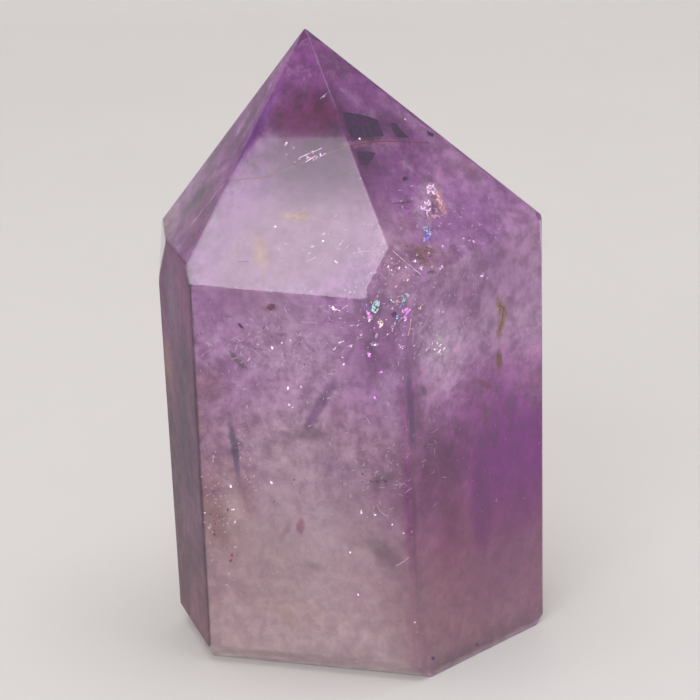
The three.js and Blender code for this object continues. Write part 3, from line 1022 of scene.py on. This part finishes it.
# Scattered flakes: kind, pixel, spread in pixels, how many, lengths in mm, slimness, angle and its spread,
# depths in mm, tilt
SPRAYS = [
    ("white", (265, 335), (120, 36), 110, (0.2, 0.9), 0.18, (35, 25), (0.15, 0.9), 25),
    ("white", (255, 345), (110, 40), 22, (0.7, 1.7), 0.08, (35, 20), (0.15, 0.8), 25),
    ("white", (310, 350), (90, 50), 110, (0.15, 0.8), 0.25, (55, 30), (0.15, 0.9), 25),
    ("white", (440, 300), (60, 80), 150, (0.12, 0.6), 0.45, (50, 30), (0.15, 0.9), 25),
    ("white", (450, 300), (80, 80), 18, (0.6, 1.4), 0.09, (55, 20), (0.15, 0.8), 25),
    ("white", (440, 347), (26, 30), 130, (0.12, 0.6), 0.45, (60, 40), (0.15, 0.8), 25),
    ("white", (420, 215), (50, 40), 100, (0.12, 0.6), 0.52, (45, 40), (0.15, 0.9), 25),
    ("white", (392, 318), (50, 40), 90, (0.09, 0.42), 0.7, (60, 40), (0.15, 0.8), 20),
    ("white", (395, 462), (60, 50), 150, (0.15, 0.9), 0.22, (40, 40), (0.15, 0.9), 25),
    ("white", (228, 500), (30, 60), 110, (0.12, 0.54), 0.7, (70, 40), (0.15, 0.8), 25),
    ("white", (245, 445), (12, 40), 60, (0.12, 0.48), 0.6, (80, 30), (0.2, 0.8), 25),
    ("white", (311, 154), (24, 12), 14, (0.15, 0.6), 0.45, (30, 25), (0.2, 0.8), 15),
    ("white", (330, 250), (70, 30), 30, (0.12, 0.6), 0.45, (30, 30), (0.2, 0.8), 15),
    ("white", (400, 268), (30, 14), 40, (0.09, 0.42), 0.7, (30, 40), (0.15, 0.7), 10),
    ("white", (470, 250), (90, 60), 90, (0.09, 0.48), 0.6, (50, 40), (0.15, 0.8), 25),
    ("white", (300, 570), (180, 110), 60, (0.09, 0.42), 0.45, (60, 40), (0.15, 0.8), 25),
    ("white", (480, 450), (90, 160), 50, (0.09, 0.42), 0.45, (60, 40), (0.15, 0.8), 25),
    ("glint", (438, 345), (12, 14), 16, (0.2, 0.6), 0.4, (70, 40), (0.15, 0.3), 5),
    ("glint", (300, 335), (120, 50), 24, (0.2, 0.7), 0.25, (30, 25), (0.15, 0.35), 6),
    ("glint", (395, 300), (50, 60), 26, (0.15, 0.5), 0.35, (50, 35), (0.15, 0.35), 6),
    ("rainbow", (390, 312), (46, 36), 26, (0.12, 0.4), 0.6, (60, 40), (0.2, 0.8), 5),
    ("gold", (415, 264), (26, 12), 8, (0.15, 0.3), 0.8, (0, 40), (0.2, 0.6), 3),
    ("dark", (250, 330), (110, 50), 22, (0.15, 0.6), 0.4, (-30, 30), (0.2, 0.7), 20),
    ("russet", (215, 520), (26, 50), 26, (0.2, 0.7), 0.6, (60, 60), (0.2, 0.7), 20),
    ("violet", (380, 480), (30, 18), 16, (0.2, 0.7), 0.5, (20, 30), (0.3, 0.8), 20),
    ("ochre", (303, 216), (18, 7), 20, (0.2, 0.6), 0.6, (0, 30), (0.4, 0.9), 20),
    ("ochre", (260, 251), (20, 20), 20, (0.2, 0.7), 0.6, (40, 40), (0.4, 0.9), 20),
    ("rust", (423, 256), (20, 12), 26, (0.15, 0.5), 0.6, (20, 40), (0.2, 0.4), 20),
    ("rust", (501, 318), (5, 24), 14, (0.12, 0.3), 0.6, (90, 30), (0.2, 0.4), 20),
    ("dark", (350, 560), (260, 170), 26, (0.08, 0.3), 0.6, (0, 60), (0.3, 1), 20),
]

# Flakes behind: kind, how many, lengths, slimness, depths
HIDDEN_SIDES = [
    ("white", 700, (0.1, 0.7), 0.3, (0.15, 0.5)),
    ("white", 60, (0.8, 1.8), 0.1, (0.2, 0.5)),
    ("rainbow", 24, (0.2, 0.6), 0.6, (0.2, 0.5)),
    ("rust", 14, (0.3, 0.9), 0.5, (0.2, 0.5)),
    ("dark", 20, (0.2, 0.6), 0.5, (0.2, 0.5)),
    ("russet", 14, (0.2, 0.7), 0.5, (0.2, 0.5)),
]

# Outlined flakes of these kinds are shattered, and the others are flat
BRIGHT_KINDS = ("white", "pearl", "salmon", "blue", "green", "magenta", "gold")

# Looks of the flaws: lighter and darker colour, patch size in mm, roughness, metallic
FLAW_LOOKS = {
    "white": ((1, 0.97, 1), (0.95, 0.88, 0.97), 0.8, 0.35, 0.15),
    "glint": ((1, 1, 1), (1, 0.93, 1), 0.5, 0.2, 1),
    "salmon": ((1, 0.72, 0.6), (1, 0.62, 0.62), 0.8, 0.3, 0.8),
    "blue": ((0.5, 0.75, 1), (0.3, 0.35, 1), 0.5, 0.25, 0.9),
    "green": ((0.6, 1, 0.75), (0.35, 1, 0.8), 0.5, 0.25, 0.9),
    "magenta": ((1, 0.6, 1), (0.95, 0.3, 0.95), 0.5, 0.25, 0.9),
    "gold": ((1, 1, 0.8), (1, 0.85, 0.5), 0.4, 0.25, 0.9),
    "rust": ((0.5, 0.26, 0.12), (0.26, 0.12, 0.06), 0.6, 0.6, 0),
    "ochre": ((0.75, 0.5, 0.25), (0.6, 0.4, 0.25), 0.6, 0.6, 0),
    "russet": ((0.52, 0.16, 0.22), (0.34, 0.1, 0.15), 0.6, 0.6, 0),
    "umber": ((0.22, 0.15, 0.16), (0.15, 0.1, 0.11), 0.8, 0.6, 0),
    "dark": ((0.15, 0, 0.2), (0.06, 0, 0.09), 0.5, 0.5, 0),
    "pearl": ((1, 0.93, 1), (1, 0.78, 0.97), 0.4, 0.22, 1),
    "plum": ((0.3, 0.07, 0.17), (0.16, 0.04, 0.1), 0.4, 0.5, 0),
    "violet": ((0.24, 0.04, 0.34), (0.15, 0.02, 0.22), 0.8, 0.6, 0),
}


def flaws():
    """All flakes, drawn in one fixed order from one seed, with one piece for each kind."""
    rng = random.Random(7)
    kinds = {}

    def mesh_of(kind):
        if kind not in kinds:
            kinds[kind] = bmesh.new()
        return kinds[kind]

    for kind, depth, pixels in OUTLINES:
        shape = shattered if kind in BRIGHT_KINDS else flat
        shape(mesh_of(kind), pixels, depth, rng)
    for kind, size, pixels in SPARKS:
        for pixel in pixels:
            spark(mesh_of(kind), pixel, size, rng)
    for kind, width, depth, pixels in STREAKS:
        ribbon(mesh_of(kind), pixels, width, depth, rng)
    for kind, *rest in SPRAYS:
        spray(mesh_of(kind), *rest, rng)
    for kind, *rest in HIDDEN_SIDES:
        scattered(mesh_of(kind), *rest, rng)
    for kind, bm in kinds.items():
        name = kind + "_flaws"
        material = rainbow_material(name) if kind == "rainbow" else flaw_material(name, *FLAW_LOOKS[kind])
        part_of_stone(mesh_object(name, bm, material))


def turned(obj, centre, *axes):
    """Links an object to the scene at a centre, with its own axes in three directions."""
    link(obj).matrix_world = Matrix.Translation(centre) @ Matrix(axes).transposed().to_4x4()
    return obj


def camera():
    data = bpy.data.cameras.new("camera")
    data.sensor_width = SENSOR_WIDTH
    data.lens = FOCAL_PIXELS / PICTURE_WIDTH * SENSOR_WIDTH
    data.clip_start = CAMERA_CLIP_START
    obj = bpy.data.objects.new("camera", data)
    bpy.context.scene.camera = turned(obj, EYE, RIGHT, UP, -FORWARD)


def area_light(name, centre, across, up, width, height, radiance):
    data = bpy.data.lights.new(name, "AREA")
    data.shape = "RECTANGLE"
    data.size = width
    data.size_y = height
    data.energy = radiance * math.pi * width * height
    turned(bpy.data.objects.new(name, data), centre, across, up, across.cross(up))
    return data


def mirrored(px, py):
    """The point of the softbox's plane that the stone mirrors at a pixel of the photograph."""
    hit, _, normal = sight(px, py)
    ray = (hit - EYE).normalized()
    out = ray - normal * (2 * ray.dot(normal))
    facing = SOFTBOX_ACROSS.cross(SOFTBOX_UP)
    return hit + out * ((SOFTBOX_CENTRE * MM - hit).dot(facing) / out.dot(facing))


def softbox():
    """The window that the front face of the point mirrors, dimmer towards its upper edge."""
    n = Nodes(area_light("softbox", SOFTBOX_CENTRE * MM, SOFTBOX_ACROSS, SOFTBOX_UP, SOFTBOX_WIDTH * MM,
                         SOFTBOX_HEIGHT * MM, SOFTBOX_RADIANCE))
    rise = n.along(n.add("ShaderNodeNewGeometry").outputs["Position"], SOFTBOX_UP)
    full, dim = (mirrored(*pixel).dot(SOFTBOX_UP) for pixel in (SOFTBOX_FULL, SOFTBOX_DIM))
    n.set(n.tree.nodes["Emission"], "Strength", n.ramp(rise, full, dim, 1.0, SOFTBOX_DIM_SHARE))


def flag():
    """A small dark card that cuts the corner of the softbox, as the mirrored patch shows."""
    high, low = mirrored(*FLAG_HIGH), mirrored(*FLAG_LOW)
    edge = high - low
    high, low = high + edge * FLAG_LONGER[0], low - edge * FLAG_LONGER[1]
    aside = SOFTBOX_ACROSS * -FLAG_REACH * MM
    above = SOFTBOX_UP * FLAG_MARGIN * MM
    forward = SOFTBOX_UP.cross(SOFTBOX_ACROSS) * FLAG_MARGIN * MM
    bm = bmesh.new()
    bm.faces.new([bm.verts.new(p + forward) for p in (high, low, low + aside, high + aside + above)])
    n = material_nodes("flag")
    black = n.blend(n.noise(3), (0.01, 0.01, 0.01), (0.02, 0.02, 0.02))
    mesh_object("flag", bm, n.principled({"Base Color": black, "Roughness": 0.9}))


# The overhead light, in metres: centre, width, depth, and its radiance
OVERHEAD_CENTRE = Vector((0.1, -0.1, 1.1))
OVERHEAD_WIDTH = 1.1
OVERHEAD_DEPTH = 0.8
OVERHEAD_RADIANCE = 2.1

# The floor that sweeps up into a backdrop, in metres
FLOOR_FRONT = -1.0
FLOOR_BACK = 0.5
FLOOR_HALF_WIDTH = 1.2
FLOOR_BEND = 0.15
FLOOR_BEND_STEPS = 12
BACKDROP_HEIGHT = 0.7
FLOOR_PATCH = 60
FLOOR_DARK = (0.66, 0.635, 0.62)
FLOOR_LIGHT = (0.70, 0.675, 0.66)

# The world's light: heights of the sky between which it dims, with its strengths, and its colour
SKY_STRENGTHS = (0.3, 0.8, 1.0, 0.5)
SKY_COLOUR = (0.86, 0.85, 0.86)


def overhead():
    """A broad soft light above, for the floor and the light that comes through the stone."""
    area_light("overhead", OVERHEAD_CENTRE, Vector((1, 0, 0)), Vector((0, 1, 0)), OVERHEAD_WIDTH,
               OVERHEAD_DEPTH, OVERHEAD_RADIANCE)


def stage():
    n = material_nodes("floor")
    grey = n.blend(n.noise(FLOOR_PATCH), FLOOR_DARK, FLOOR_LIGHT)
    material = n.principled({"Base Color": grey, "Roughness": 0.6})
    profile = [(FLOOR_FRONT, 0.0), (FLOOR_BACK - FLOOR_BEND, 0.0)]
    for k in range(1, FLOOR_BEND_STEPS + 1):
        a = math.pi / 2 * k / FLOOR_BEND_STEPS
        profile.append((FLOOR_BACK - FLOOR_BEND * (1 - math.sin(a)), FLOOR_BEND * (1 - math.cos(a))))
    profile.append((FLOOR_BACK, BACKDROP_HEIGHT))
    bm = bmesh.new()
    rows = [[bm.verts.new((x, y, z)) for x in (-FLOOR_HALF_WIDTH, FLOOR_HALF_WIDTH)] for y, z in profile]
    for a, b in zip(rows, rows[1:]):
        bm.faces.new((a[0], a[1], b[1], b[0]))
    mesh_object("floor_sweep", bm, material, smooth=True)


def world():
    """Soft light from all round, dimmer overhead."""
    sky = bpy.data.worlds.new("world")
    n = Nodes(sky)
    rise = n.axis("Z", n.add("ShaderNodeTexCoord").outputs["Generated"])
    background = n.tree.nodes["Background"]
    n.set(background, "Strength", n.ramp(rise, *SKY_STRENGTHS, kind="LINEAR"))
    n.set(background, "Color", SKY_COLOUR)
    bpy.context.scene.world = sky


stone()
clouds()
flaws()
stage()
world()
camera()
softbox()
flag()
overhead()
bpy.context.scene.view_settings.view_transform = "Standard"
